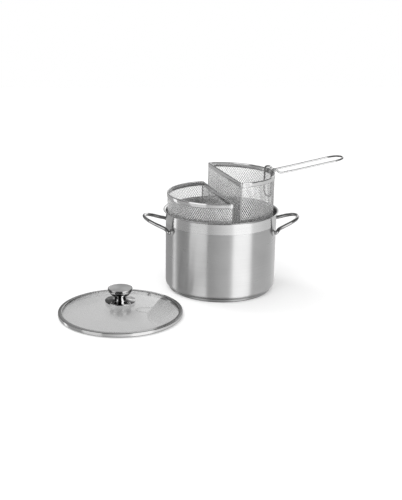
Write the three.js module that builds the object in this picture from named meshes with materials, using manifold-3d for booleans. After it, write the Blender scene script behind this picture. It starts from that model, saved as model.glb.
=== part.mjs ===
// Pasta pot with two half round mesh baskets, a lift off wire handle and a glass lid.
// Millimetres, +Z up. The origin is the middle of the pot's base, on the surface it stands on.
// +X points to one side handle, +Y to the back, and the lid lies on the surface at the front left.

import * as THREE from 'three';
import { mergeGeometries, mergeVertices } from 'three/addons/utils/BufferGeometryUtils.js';
import Module from 'manifold-3d';

const wasm = await Module();
wasm.setup();

// Clearances and the overrun of every cut
const seat_gap = 0.3;
const cut_overrun = 2;

// Pot
const pot_bore_radius = 120;
const pot_wall = 0.8;
const pot_height = 176.5;
const pot_corner_radius = 10;
const lip_width = 5.3;
const lip_bend_radius = 3.5;
const lip_thickness = 1.2;
const cap_sheet = 0.8;
const cap_height = 6;
const cap_corner_radius = 3.5;
const cap_step_in = 6.8;

// Side handles
const side_rod_radius = 3.9;
const side_handle_reach = 51.4;
const side_handle_drop = 38.5;
const side_handle_climb = 23;
const side_foot_spacing = 104;
const side_foot_width = 12;
const side_foot_height = 13;
const side_foot_thickness = 2.4;

// Lid
const lid_place_gap = 27;
const lid_place_bearing_degrees = 219.77;
const lid_ring_height = 9.2;
const lid_ring_width = 6.2;
const lid_ring_round = 2.4;
const lid_ring_lower_chamfer = 1.2;
const lid_skirt_height = 3.2;
const lid_skirt_sheet = 1.2;
const lid_skirt_clearance = 1.6;
const glass_thickness = 4;
const glass_dome_rise = 20;
const glass_grip = 3;
const vent_radius = 3;
const vent_inset = 31.9;
const vent_bearing_degrees = 49;
const eyelet_wall = 0.9;
const eyelet_lip = 1.5;
const eyelet_lip_thickness = 0.6;

// Knob
const knob_screw_radius = 3;
const knob_screw_head_radius = 6;
const knob_screw_head_thickness = 2.6;
const knob_screw_chamfer = 0.75;
const knob_screw_end_gap = 2;
const knob_washer_radius = 10;
const knob_washer_thickness = 1.4;
const knob_gasket_radius = 11;
const knob_gasket_thickness = 1.2;
const knob_flange_radius = 31.4;
const knob_flange_height = 4.2;
const knob_flange_edge = 1.4;
const knob_flange_shoulder_height = 2.6;
const knob_flange_seat_radius = 15;
const knob_body_height = 20.5;
const knob_top_radius = 25.2;
const knob_top_thickness = 2.2;
const knob_top_chamfer = 0.55;

// Baskets
const basket_height = 150;
const basket_fit_clearance = 5.5;
const basket_arc_setback = 3;
const basket_corner_radius = 6;
const left_basket_turn_degrees = 193.4;
const right_basket_turn_degrees = 14;
const left_basket_wall_gap = 1.3;
const right_basket_wall_gap = 5.3;
const left_basket_rise = 38.8;
const right_basket_rise = 81.8;
const band_sheet = 0.8;
const mesh_sheet = 1;
const rim_band_height = 10.5;
const base_band_height = 6;
const strut_width = 3.4;
const rivet_radius = 1.6;
const rivet_rise = 0.8;
const rivet_spacing = 6;

// Detachable basket handle
const wire_radius = 2;
const grip_width = 47;
const grip_length = 169.8;
const grip_rise_degrees = 9.4;
const grip_root_drop = 6.6;
const grip_root_ease = 1.65;
const hook_width = 40;
const hook_depth = 58;
const hook_corner_radius = 12;
const hook_gap = 1.2;
const clip_length = 50;
const clip_width = 5;
const clip_thickness = 1;

// Facet counts
const pot_sides = 48;
const small_sides = 32;
const fastener_sides = 16;
const rod_sides = 8;
const wire_sides = 6;
const rod_steps = 32;
const wire_steps = 90;
const dome_rings = 6;
const arc_facets = 20;
const corner_facets = 3;
const bend_facets = 3;
const net_rows = 5;

const rad = THREE.MathUtils.degToRad;

// Materials
function metal(color, roughness) {
  return new THREE.MeshStandardMaterial({ color, roughness, metalness: 1 });
}

const brushed_steel = metal(0xb9babb, 0.32);
const polished_steel = metal(0xd4d5d6, 0.12);
const mesh_steel = metal(0xc6c7c8, 0.25);
const aluminium = metal(0xc9cbcd, 0.45);
const clear_glass = new THREE.MeshStandardMaterial({
  color: 0xe3e8e8,
  roughness: 0.05,
  metalness: 0,
  transparent: true,
  opacity: 0.35,
});
const silicone = new THREE.MeshStandardMaterial({ color: 0x9a9c9c, roughness: 0.7, metalness: 0 });

// A closed geometry with shared vertices becomes a solid that can be cut and joined.
function to_solid(geometry) {
  const bare = geometry.index ? geometry.toNonIndexed() : geometry.clone();
  bare.deleteAttribute('normal');
  bare.deleteAttribute('uv');
  const merged = mergeVertices(bare);
  return new wasm.Manifold(new wasm.Mesh({
    numProp: 3,
    vertProperties: new Float32Array(merged.attributes.position.array),
    triVerts: new Uint32Array(merged.index.array),
  }));
}

function to_geometry(solid) {
  const mesh = solid.getMesh();
  const geometry = new THREE.BufferGeometry();
  geometry.setAttribute('position', new THREE.BufferAttribute(new Float32Array(mesh.vertProperties), 3));
  geometry.setIndex(new THREE.BufferAttribute(new Uint32Array(mesh.triVerts), 1));
  geometry.computeVertexNormals();
  return geometry;
}

function add_mesh(parent, name, geometry, material) {
  const mesh = new THREE.Mesh(geometry, material.clone());
  mesh.name = name;
  parent.add(mesh);
  return mesh;
}

// A turned body about +Z from (radius, height) points that start and end on the axis or close.
function turned(points, sides) {
  const profile = points.map(([r, z]) => new THREE.Vector2(r, z));
  const geometry = new THREE.LatheGeometry(profile, sides);
  geometry.rotateX(Math.PI / 2);
  return geometry;
}

// Points of a profile's rounded bend, as (radius, height) pairs
function bend(centre_r, centre_z, radius, from_degrees, to_degrees) {
  const points = [];
  for (let i = 0; i <= bend_facets; i += 1) {
    const angle = rad(from_degrees + (to_degrees - from_degrees) * i / bend_facets);
    points.push([centre_r + radius * Math.cos(angle), centre_z + radius * Math.sin(angle)]);
  }
  return points;
}

function extruded(shape, depth) {
  return new THREE.ExtrudeGeometry(shape, { depth, bevelEnabled: false, steps: 1 });
}

function round_rod(points, radius, sides, steps) {
  const section = new THREE.Shape();
  for (let i = 0; i < sides; i += 1) {
    const angle = 2 * Math.PI * i / sides;
    const x = radius * Math.cos(angle);
    const y = radius * Math.sin(angle);
    if (i === 0) {
      section.moveTo(x, y);
    } else {
      section.lineTo(x, y);
    }
  }
  section.closePath();
  const path = new THREE.CatmullRomCurve3(points, false, 'centripetal');
  return new THREE.ExtrudeGeometry(section, { steps, extrudePath: path, bevelEnabled: false });
}

// Pot: shell, sandwich base and two side handles
const pot_outer_radius = pot_bore_radius + pot_wall;
const shell_bottom_z = cap_height + seat_gap;
const corner_centre_r = pot_outer_radius - pot_corner_radius;
const corner_centre_z = shell_bottom_z + pot_corner_radius;
const lip_bottom_z = pot_height - lip_thickness;
const lip_outer_radius = pot_outer_radius + lip_width;
const side_handle_foot_z = pot_height - side_handle_drop;

function pot_shell_geometry() {
  const inner_corner = pot_corner_radius - pot_wall;
  const outer_bend = lip_bend_radius;
  const inner_bend = lip_bend_radius + pot_wall;
  const bend_centre_r = pot_outer_radius + outer_bend;
  const points = [
    [0, shell_bottom_z],
    ...bend(corner_centre_r, corner_centre_z, pot_corner_radius, -90, 0),
    ...bend(bend_centre_r, lip_bottom_z - outer_bend, outer_bend, 180, 90),
    [lip_outer_radius, lip_bottom_z],
    [lip_outer_radius, pot_height],
    [bend_centre_r, pot_height],
    ...bend(bend_centre_r, pot_height - inner_bend, inner_bend, 90, 180).slice(1),
    ...bend(corner_centre_r, corner_centre_z, inner_corner, 0, -90),
    [0, shell_bottom_z + pot_wall],
  ];
  return turned(points, pot_sides);
}

function base_cap_geometry() {
  const outer = pot_outer_radius - cap_step_in;
  const inner = outer - cap_sheet;
  const points = [
    [0, 0],
    ...bend(outer - cap_corner_radius, cap_corner_radius, cap_corner_radius, -90, 0),
    [outer, cap_height],
    [inner, cap_height],
    ...bend(outer - cap_corner_radius, cap_corner_radius, cap_corner_radius - cap_sheet, 0, -90),
    [0, cap_sheet],
  ];
  return turned(points, pot_sides);
}

function base_core_geometry() {
  const bottom = cap_sheet + seat_gap;
  const top = shell_bottom_z - seat_gap;
  const radius = pot_outer_radius - cap_step_in - cap_corner_radius;
  const points = [
    [0, bottom],
    [radius, bottom],
    [radius, top],
    [0, top],
  ];
  return turned(points, pot_sides);
}

const side_foot_angle = Math.asin(side_foot_spacing / 2 / pot_outer_radius);
const foot_face_radius = pot_outer_radius + seat_gap;
const rod_root_radius = foot_face_radius + side_foot_thickness + seat_gap;

// The rod leaves each foot square to it, bends over and runs out and up to the loop's tip. Shares
// are of the reach, the half spacing and the climb.
const side_loop_shares = [
  [0.18, 0.9, 0.24],
  [0.39, 0.76, 0.43],
  [0.68, 0.61, 0.7],
  [0.89, 0.4, 0.89],
];

function side_handle_geometry() {
  const square_out = (radius) => new THREE.Vector3(
    radius * Math.cos(side_foot_angle),
    radius * Math.sin(side_foot_angle),
    side_handle_foot_z,
  );
  const root = square_out(rod_root_radius);
  const square_end = square_out(rod_root_radius + side_rod_radius);
  const tip_x = pot_outer_radius + side_handle_reach - side_rod_radius;
  const reach = tip_x - root.x;
  const arm = side_loop_shares.map(([out, half, up]) => new THREE.Vector3(
    root.x + out * reach,
    half * root.y,
    side_handle_foot_z + up * side_handle_climb,
  ));
  const back_arm = [root, square_end, ...arm];
  const front_arm = back_arm.map((p) => new THREE.Vector3(p.x, -p.y, p.z)).reverse();
  const tip = new THREE.Vector3(tip_x, 0, side_handle_foot_z + side_handle_climb);
  const points = [...back_arm, tip, ...front_arm];
  return round_rod(points, side_rod_radius, rod_sides, rod_steps);
}

// The foot is a small plate with round corners that lies against the wall.
function side_foot_geometry() {
  const half_width = side_foot_width / 2;
  const half_height = side_foot_height / 2;
  const corner = side_foot_thickness;
  const shape = new THREE.Shape();
  shape.moveTo(-half_width + corner, -half_height);
  shape.lineTo(half_width - corner, -half_height);
  shape.lineTo(half_width, -half_height + corner);
  shape.lineTo(half_width, half_height - corner);
  shape.lineTo(half_width - corner, half_height);
  shape.lineTo(-half_width + corner, half_height);
  shape.lineTo(-half_width, half_height - corner);
  shape.lineTo(-half_width, -half_height + corner);
  shape.closePath();
  const geometry = extruded(shape, side_foot_thickness);
  geometry.rotateX(Math.PI / 2);
  geometry.rotateZ(Math.PI / 2);
  return geometry;
}

function build_side_handle(parent, side, turn) {
  const handle = new THREE.Group();
  handle.rotation.z = turn;
  parent.add(handle);
  add_mesh(handle, `side_handle_${side}`, side_handle_geometry(), polished_steel);
  for (const [end, sign] of [['back', 1], ['front', -1]]) {
    const place = turn === 0 ? end : { back: 'front', front: 'back' }[end];
    const foot = add_mesh(handle, `side_handle_${side}_foot_${place}`, side_foot_geometry(), polished_steel);
    const angle = sign * side_foot_angle;
    foot.rotation.z = angle;
    foot.position.set(
      foot_face_radius * Math.cos(angle),
      foot_face_radius * Math.sin(angle),
      side_handle_foot_z,
    );
  }
}

function build_pot(parent) {
  const pot = new THREE.Group();
  parent.add(pot);
  add_mesh(pot, 'pot_shell', pot_shell_geometry(), brushed_steel);
  add_mesh(pot, 'base_cap', base_cap_geometry(), brushed_steel);
  add_mesh(pot, 'base_core', base_core_geometry(), aluminium);
  build_side_handle(pot, 'right', 0);
  build_side_handle(pot, 'left', Math.PI);
}

// Lid: its ring is as wide as the pot's lip. The dome is a slice of a sphere, so its height at a
// radius has one formula.
const lid_radius = lip_outer_radius;
const lid_place_distance = lip_outer_radius + lid_place_gap + lid_radius;
const ring_inner_radius = lid_radius - lid_ring_width;
const glass_radius = ring_inner_radius + glass_grip;
const sphere_radius = (glass_radius ** 2 + glass_dome_rise ** 2) / (2 * glass_dome_rise);
const glass_edge_top_z = lid_ring_height - lid_skirt_sheet - seat_gap;
const vent_distance = ring_inner_radius - vent_inset;
const vent_x = vent_distance * Math.cos(rad(vent_bearing_degrees));
const vent_y = vent_distance * Math.sin(rad(vent_bearing_degrees));

function glass_top_at(r) {
  const drop = sphere_radius - Math.sqrt(sphere_radius ** 2 - r ** 2);
  return glass_edge_top_z + glass_dome_rise - drop;
}

const glass_bore_radius = knob_screw_radius + seat_gap;

function lid_glass_geometry() {
  const top = [];
  for (let i = 0; i <= dome_rings; i += 1) {
    const r = glass_bore_radius + (glass_radius - glass_bore_radius) * i / dome_rings;
    top.push([r, glass_top_at(r)]);
  }
  const bottom = top.map(([r, z]) => [r, z - glass_thickness]);
  const dome = to_solid(turned([...bottom, ...top.reverse(), bottom[0]], pot_sides));
  const hole_radius = vent_radius + eyelet_wall + seat_gap;
  const cutter_height = glass_dome_rise + glass_thickness + cut_overrun;
  const cutter = new THREE.CylinderGeometry(hole_radius, hole_radius, 2 * cutter_height, fastener_sides);
  cutter.rotateX(Math.PI / 2);
  cutter.translate(vent_x, vent_y, glass_top_at(vent_distance));
  return to_geometry(dome.subtract(to_solid(cutter)));
}

// The ring grips the glass edge in a groove and has a skirt that drops inside the pot's mouth.
function lid_ring_geometry() {
  const sheet = lid_skirt_sheet;
  const skirt_radius = pot_bore_radius - lid_skirt_clearance;
  const glass_bottom = glass_top_at(glass_radius) - glass_thickness;
  const floor_z = glass_bottom - seat_gap;
  const wall_r = glass_radius + seat_gap;
  const glass_rise_at_ring = glass_top_at(ring_inner_radius) - glass_top_at(glass_radius);
  const points = [
    [skirt_radius - sheet, 0],
    [skirt_radius, 0],
    [skirt_radius, lid_skirt_height],
    [lid_radius - lid_ring_lower_chamfer, lid_skirt_height],
    [lid_radius, lid_skirt_height + lid_ring_lower_chamfer],
    ...bend(lid_radius - lid_ring_round, lid_ring_height - lid_ring_round, lid_ring_round, 0, 90),
    [ring_inner_radius, lid_ring_height + glass_rise_at_ring],
    [ring_inner_radius, glass_top_at(ring_inner_radius) + seat_gap],
    [wall_r, glass_top_at(glass_radius) + seat_gap],
    [wall_r, floor_z],
    [skirt_radius - sheet, floor_z],
    [skirt_radius - sheet, 0],
  ];
  return turned(points, pot_sides);
}

// The eyelet lines the vent hole: a tube with a lip that rests on the glass.
function vent_eyelet_geometry() {
  const outer = vent_radius + eyelet_wall;
  const low_side = vent_distance + outer + eyelet_lip;
  const high_side = vent_distance - outer - eyelet_lip;
  const lip_z = glass_top_at(high_side) + seat_gap;
  const bottom_z = glass_top_at(low_side) - glass_thickness;
  const points = [
    [vent_radius, bottom_z],
    [outer, bottom_z],
    [outer, lip_z],
    [outer + eyelet_lip, lip_z],
    [outer + eyelet_lip, lip_z + eyelet_lip_thickness],
    [vent_radius, lip_z + eyelet_lip_thickness],
    [vent_radius, bottom_z],
  ];
  return turned(points, fastener_sides);
}

// Knob: everything is stacked on the crown of the glass around one screw.
const crown_top_z = glass_top_at(glass_bore_radius);
const crown_bottom_z = crown_top_z - glass_thickness;
const gasket_bottom_z = crown_top_z + seat_gap;
const flange_bottom_z = gasket_bottom_z + knob_gasket_thickness + seat_gap;
const knob_bottom_z = flange_bottom_z + knob_flange_height + seat_gap;
const washer_top_z = glass_top_at(knob_washer_radius) - glass_thickness - seat_gap;
const knob_bore_radius = knob_screw_radius + seat_gap;
const knob_bore_end_z = knob_bottom_z + knob_body_height / 2;

function ring_profile(inner, outer, bottom, top) {
  return [[inner, bottom], [outer, bottom], [outer, top], [inner, top], [inner, bottom]];
}

function knob_flange_geometry() {
  const top = flange_bottom_z + knob_flange_height;
  const points = [
    [knob_bore_radius, flange_bottom_z],
    [knob_flange_radius, flange_bottom_z],
    [knob_flange_radius, flange_bottom_z + knob_flange_edge],
    [(knob_flange_radius + knob_flange_seat_radius) / 2, flange_bottom_z + knob_flange_shoulder_height],
    [knob_flange_seat_radius, top],
    [knob_bore_radius, top],
    [knob_bore_radius, flange_bottom_z],
  ];
  return turned(points, small_sides);
}

// The stem opens upwards into a bowl. Each point is a share of the height and a radius.
const knob_body_points = [
  [0, 11.5],
  [0.12, 11.9],
  [0.26, 13.6],
  [0.45, 18.2],
  [0.62, 21.4],
  [0.76, 23.5],
  [0.9, 24.6],
  [1, 24.8],
];

function knob_body_geometry() {
  const outer = knob_body_points.map(([up, radius]) => [radius, knob_bottom_z + up * knob_body_height]);
  const points = [
    [0, knob_bore_end_z],
    [knob_bore_radius, knob_bore_end_z],
    [knob_bore_radius, knob_bottom_z],
    ...outer,
    [0, knob_bottom_z + knob_body_height],
  ];
  return turned(points, small_sides);
}

function knob_top_geometry() {
  const bottom = knob_bottom_z + knob_body_height + seat_gap;
  const top = bottom + knob_top_thickness;
  const points = [
    [0, bottom],
    [knob_top_radius - knob_top_chamfer, bottom],
    [knob_top_radius, bottom + knob_top_chamfer],
    [knob_top_radius, top - knob_top_chamfer],
    [knob_top_radius - knob_top_chamfer, top],
    [0, top],
  ];
  return turned(points, small_sides);
}

function knob_screw_geometry() {
  const head_top = washer_top_z - knob_washer_thickness - seat_gap;
  const head_bottom = head_top - knob_screw_head_thickness;
  const tip = knob_bore_end_z - knob_screw_end_gap;
  const points = [
    [0, head_bottom],
    [knob_screw_head_radius - knob_screw_chamfer, head_bottom],
    [knob_screw_head_radius, head_bottom + knob_screw_chamfer],
    [knob_screw_head_radius, head_top],
    [knob_screw_radius, head_top],
    [knob_screw_radius, tip - knob_screw_chamfer],
    [knob_screw_radius - knob_screw_chamfer, tip],
    [0, tip],
  ];
  return turned(points, fastener_sides);
}

function build_lid(parent) {
  const lid = new THREE.Group();
  lid.position.set(
    lid_place_distance * Math.cos(rad(lid_place_bearing_degrees)),
    lid_place_distance * Math.sin(rad(lid_place_bearing_degrees)),
    0,
  );
  parent.add(lid);
  add_mesh(lid, 'lid_glass', lid_glass_geometry(), clear_glass);
  add_mesh(lid, 'lid_ring', lid_ring_geometry(), polished_steel);
  const eyelet = add_mesh(lid, 'vent_eyelet', vent_eyelet_geometry(), polished_steel);
  eyelet.position.set(vent_x, vent_y, 0);
  const gasket = ring_profile(
    knob_bore_radius,
    knob_gasket_radius,
    gasket_bottom_z,
    gasket_bottom_z + knob_gasket_thickness,
  );
  add_mesh(lid, 'knob_gasket', turned(gasket, small_sides), silicone);
  add_mesh(lid, 'knob_flange', knob_flange_geometry(), polished_steel);
  add_mesh(lid, 'knob_body', knob_body_geometry(), polished_steel);
  add_mesh(lid, 'knob_top', knob_top_geometry(), brushed_steel);
  const washer = ring_profile(
    knob_bore_radius,
    knob_washer_radius,
    washer_top_z - knob_washer_thickness,
    washer_top_z,
  );
  add_mesh(lid, 'knob_washer', turned(washer, small_sides), polished_steel);
  add_mesh(lid, 'knob_screw', knob_screw_geometry(), polished_steel);
}

// Basket outline, in the basket's own frame: the flat side lies in x = 0 and the round side is
// towards +x. Every inset outline keeps the same centres, so nested pieces run parallel.
const basket_arc_radius = pot_bore_radius - basket_fit_clearance;
const basket_reach = basket_arc_radius - basket_arc_setback;
const arc_centre_x = -basket_arc_setback;
const corner_centre_x = basket_corner_radius;
const corner_centre_y = Math.sqrt(
  (basket_arc_radius - basket_corner_radius) ** 2 - (corner_centre_x - arc_centre_x) ** 2,
);
const arc_end_angle = Math.atan2(corner_centre_y, corner_centre_x - arc_centre_x);

function arc_points(centre_x, centre_y, radius, from, to, facets) {
  const points = [];
  for (let i = 0; i <= facets; i += 1) {
    const angle = from + (to - from) * i / facets;
    points.push(new THREE.Vector2(centre_x + radius * Math.cos(angle), centre_y + radius * Math.sin(angle)));
  }
  return points;
}

function round_side(inset) {
  const radius = basket_arc_radius - inset;
  return arc_points(arc_centre_x, 0, radius, -arc_end_angle, arc_end_angle, arc_facets);
}

function round_corner(inset, sign) {
  const radius = basket_corner_radius - inset;
  const points = arc_points(corner_centre_x, corner_centre_y, radius, arc_end_angle, Math.PI, corner_facets);
  if (sign > 0) {
    return points;
  }
  return points.map((p) => new THREE.Vector2(p.x, -p.y)).reverse();
}

function basket_outline(inset) {
  return [
    ...round_side(inset),
    ...round_corner(inset, 1).slice(1),
    ...round_corner(inset, -1).slice(0, -1),
  ];
}

const wall_inset = band_sheet + seat_gap;
const wall_inner_inset = wall_inset + mesh_sheet;
const band_groove_inset = wall_inner_inset + seat_gap;
const band_inner_inset = band_groove_inset + band_sheet;
const wall_bottom_z = band_sheet + seat_gap;
const wall_top_z = basket_height - band_sheet - seat_gap;

function outline_ring(outer_inset, inner_inset, bottom, height) {
  const shape = new THREE.Shape(basket_outline(outer_inset));
  shape.holes.push(new THREE.Path(basket_outline(inner_inset)));
  const geometry = extruded(shape, height);
  geometry.translate(0, 0, bottom);
  return geometry;
}

// A band is a strip folded over the edge of the mesh: a ring with a groove from one side.
function band_geometry(bottom, height, groove_bottom, groove_height) {
  const ring = to_solid(outline_ring(0, band_inner_inset, bottom, height));
  const groove = to_solid(outline_ring(band_sheet, band_groove_inset, groove_bottom, groove_height));
  return to_geometry(ring.subtract(groove));
}

function rim_band_geometry() {
  const bottom = basket_height - rim_band_height;
  const groove_height = rim_band_height - band_sheet + cut_overrun;
  return band_geometry(bottom, rim_band_height, bottom - cut_overrun, groove_height);
}

function base_band_geometry() {
  const groove_height = base_band_height - band_sheet + cut_overrun;
  return band_geometry(0, base_band_height, band_sheet, groove_height);
}

// The net is a lattice of diamond gaps in rows, with every second row moved half a gap along.
const gap_pitch = 2 * arc_end_angle * basket_arc_radius / (arc_facets / 2);
const net_bottom_z = base_band_height + strut_width;
const net_top_z = basket_height - rim_band_height - strut_width;
const row_pitch = (net_top_z - net_bottom_z) / ((net_rows + 1) / 2);
const slope_share = Math.hypot(gap_pitch, row_pitch) / row_pitch;
const gap_width = gap_pitch - strut_width * slope_share;
const gap_height = gap_width * row_pitch / gap_pitch;

function diamond_cutter(width, height, depth) {
  const shape = new THREE.Shape();
  shape.moveTo(width / 2, 0);
  shape.lineTo(0, height / 2);
  shape.lineTo(-width / 2, 0);
  shape.lineTo(0, -height / 2);
  shape.closePath();
  const geometry = extruded(shape, depth);
  geometry.translate(0, 0, -depth / 2);
  return geometry;
}

function net_rows_of(visit) {
  for (let row = 0; row < net_rows; row += 1) {
    visit(row, net_bottom_z + row_pitch * (row + 1) / 2);
  }
}

function cut_gaps(solid, cutters) {
  return to_geometry(solid.subtract(to_solid(mergeGeometries(cutters))));
}

// A cutter stands upright in the wall: its width along the wall, its height along +Z.
function wall_cutter() {
  const cutter = diamond_cutter(gap_width, gap_height, mesh_sheet + 2 * cut_overrun);
  cutter.rotateX(Math.PI / 2);
  cutter.rotateZ(Math.PI / 2);
  return cutter;
}

function round_wall_geometry() {
  const inner = round_side(wall_inner_inset).reverse();
  const shape = new THREE.Shape([...round_side(wall_inset), ...inner]);
  const wall = extruded(shape, wall_top_z - wall_bottom_z);
  wall.translate(0, 0, wall_bottom_z);
  const middle_radius = basket_arc_radius - (wall_inset + wall_inner_inset) / 2;
  const facet_angle = 2 * arc_end_angle / arc_facets;
  const cutters = [];
  net_rows_of((row, z) => {
    for (let i = 1 + row % 2; i < arc_facets; i += 2) {
      const angle = -arc_end_angle + facet_angle * i;
      const cutter = wall_cutter();
      cutter.translate(middle_radius, 0, 0);
      cutter.rotateZ(angle);
      cutter.translate(arc_centre_x, 0, z);
      cutters.push(cutter);
    }
  });
  return cut_gaps(to_solid(wall), cutters);
}

function flat_wall_geometry() {
  const half = corner_centre_y - seat_gap;
  const wall = new THREE.BoxGeometry(mesh_sheet, 2 * half, wall_top_z - wall_bottom_z);
  wall.translate((wall_inset + wall_inner_inset) / 2, 0, (wall_bottom_z + wall_top_z) / 2);
  const reach = half - strut_width - gap_width / 2;
  const across = Math.floor(reach / gap_pitch);
  const cutters = [];
  net_rows_of((row, z) => {
    const shift = (row % 2) / 2;
    for (let i = -across - 1; i <= across; i += 1) {
      const y = gap_pitch * (i + shift);
      if (Math.abs(y) <= reach) {
        const cutter = wall_cutter();
        cutter.translate((wall_inset + wall_inner_inset) / 2, y, z);
        cutters.push(cutter);
      }
    }
  });
  return cut_gaps(to_solid(wall), cutters);
}

function floor_geometry() {
  const inset = band_inner_inset + seat_gap;
  const plate = extruded(new THREE.Shape(basket_outline(inset)), mesh_sheet);
  plate.translate(0, 0, wall_bottom_z);
  const clear_radius = basket_arc_radius - inset - strut_width - gap_width / 2;
  const columns = Math.ceil(basket_arc_radius / gap_pitch);
  const cutters = [];
  for (let column = 0; column <= 2 * columns; column += 1) {
    const x = inset + strut_width + gap_height / 2 + row_pitch * column / 2;
    const shift = (column % 2) / 2;
    for (let i = -columns; i <= columns; i += 1) {
      const y = gap_pitch * (i + shift);
      if (Math.hypot(x - arc_centre_x, y) <= clear_radius) {
        const cutter = diamond_cutter(gap_height, gap_width, mesh_sheet + 2 * cut_overrun);
        cutter.translate(x, y, wall_bottom_z + mesh_sheet / 2);
        cutters.push(cutter);
      }
    }
  }
  return cut_gaps(to_solid(plate), cutters);
}

// A corner strip joins the two walls around a corner, between the bands.
function corner_strip_geometry(sign) {
  const outer = round_corner(0, sign);
  const inner = round_corner(band_inner_inset, sign).reverse();
  const bottom = base_band_height + seat_gap;
  const top = basket_height - rim_band_height - seat_gap;
  const strip = extruded(new THREE.Shape([...outer, ...inner]), top - bottom);
  strip.translate(0, 0, bottom);
  return strip;
}

function rivet_geometry() {
  const points = [
    [0, 0],
    [rivet_radius, 0],
    [rivet_radius, rivet_rise / 2],
    [rivet_radius / 2, rivet_rise],
    [0, rivet_rise],
  ];
  return turned(points, rod_sides);
}

// A basket's round side keeps its own gap to the pot's wall, and its rim stands above the pot's.
function build_basket(parent, side, turn, wall_gap, rise) {
  const basket = new THREE.Group();
  const offset = pot_bore_radius - wall_gap - basket_reach;
  basket.rotation.z = turn;
  basket.position.set(
    offset * Math.cos(turn),
    offset * Math.sin(turn),
    pot_height + rise - basket_height,
  );
  parent.add(basket);
  const name = `basket_${side}`;
  add_mesh(basket, `${name}_round_wall`, round_wall_geometry(), mesh_steel);
  add_mesh(basket, `${name}_flat_wall`, flat_wall_geometry(), mesh_steel);
  add_mesh(basket, `${name}_floor`, floor_geometry(), mesh_steel);
  add_mesh(basket, `${name}_rim_band`, rim_band_geometry(), polished_steel);
  add_mesh(basket, `${name}_base_band`, base_band_geometry(), polished_steel);
  for (const [end, sign] of [['a', 1], ['b', -1]]) {
    add_mesh(basket, `${name}_corner_${end}`, corner_strip_geometry(sign), polished_steel);
    for (let i = 1; i <= 2; i += 1) {
      const rivet = add_mesh(basket, `${name}_rivet_${end}${i}`, rivet_geometry(), polished_steel);
      const reach = basket_arc_radius + seat_gap;
      const angle = sign * (arc_end_angle - (i * rivet_spacing) / basket_arc_radius);
      rivet.rotation.set(0, Math.PI / 2, angle, 'ZYX');
      rivet.position.set(
        arc_centre_x + reach * Math.cos(angle),
        reach * Math.sin(angle),
        basket_height - rim_band_height / 2,
      );
    }
  }
  return basket;
}

// How far the middle of a quarter bend lies from each side of its square corner
const quarter_bend_share = 1 - Math.SQRT1_2;

// The wire handle hooks over the round side's rim: two legs inside joined by a U at the bottom, and
// a long loop outside.
const hook_half = hook_width / 2;
const rim_x_at_hook = arc_centre_x + Math.sqrt(basket_arc_radius ** 2 - hook_half ** 2);
const leg_x = rim_x_at_hook - band_inner_inset - hook_gap - wire_radius;
const clip_bottom_z = basket_height + seat_gap;
const clip_inner_x = rim_x_at_hook - band_inner_inset / 2;
const clip_outer_x = clip_inner_x + clip_width;
const wire_over_z = clip_bottom_z + clip_thickness + seat_gap + wire_radius;

function handle_wire_geometry() {
  const slope = Math.tan(rad(grip_rise_degrees));
  const root_z = basket_height - grip_root_drop;
  const plane_z = (x) => root_z + (x - basket_reach) * slope;
  const tip_x = basket_reach + grip_length * Math.cos(rad(grip_rise_degrees)) - wire_radius;
  const grip_half = grip_width / 2 - wire_radius;
  const hook_z = basket_height - hook_depth;
  const over_x = clip_outer_x + wire_radius / 2;
  const clear_x = over_x + wire_radius + grip_root_drop;
  const tip_bend = quarter_bend_share * grip_half;
  const hook_bend = quarter_bend_share * hook_corner_radius;
  const half_path = [
    [leg_x, wire_radius, hook_z],
    [leg_x, hook_half - hook_corner_radius, hook_z],
    [leg_x, hook_half - hook_bend, hook_z + hook_bend],
    [leg_x, hook_half, hook_z + hook_corner_radius],
    [leg_x, hook_half, basket_height - rim_band_height],
    [leg_x, hook_half, basket_height],
    [(leg_x + rim_x_at_hook) / 2, hook_half, wire_over_z],
    [over_x, hook_half, wire_over_z],
    [clear_x, hook_half, plane_z(clear_x) + grip_root_ease],
    [clear_x + grip_half, (hook_half + grip_half) / 2, plane_z(clear_x + grip_half)],
    [tip_x - 2 * grip_half, grip_half, plane_z(tip_x - 2 * grip_half)],
    [tip_x - grip_half, grip_half, plane_z(tip_x - grip_half)],
    [tip_x - tip_bend, grip_half - tip_bend, plane_z(tip_x - tip_bend)],
  ];
  const far_side = half_path.map(([x, y, z]) => new THREE.Vector3(x, y, z));
  const near_side = half_path.map(([x, y, z]) => new THREE.Vector3(x, -y, z)).reverse();
  const points = [...far_side, new THREE.Vector3(tip_x, 0, plane_z(tip_x)), ...near_side];
  return round_rod(points, wire_radius, wire_sides, wire_steps);
}

function build_basket_handle(basket) {
  add_mesh(basket, 'basket_handle_wire', handle_wire_geometry(), polished_steel);
  const clip = new THREE.BoxGeometry(clip_width, clip_length, clip_thickness);
  clip.translate((clip_inner_x + clip_outer_x) / 2, 0, clip_bottom_z + clip_thickness / 2);
  add_mesh(basket, 'basket_handle_clip', clip, polished_steel);
}

const group = new THREE.Group();
build_pot(group);
build_lid(group);
build_basket(
  group,
  'left',
  rad(left_basket_turn_degrees),
  left_basket_wall_gap,
  left_basket_rise,
);
const right_basket = build_basket(
  group,
  'right',
  rad(right_basket_turn_degrees),
  right_basket_wall_gap,
  right_basket_rise,
);
build_basket_handle(right_basket);

export default group;
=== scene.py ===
from math import asin, atan2, copysign, cos, hypot, pi, radians, sin, sqrt, tan

import bmesh
import bpy
from mathutils import Matrix, Vector


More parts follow.
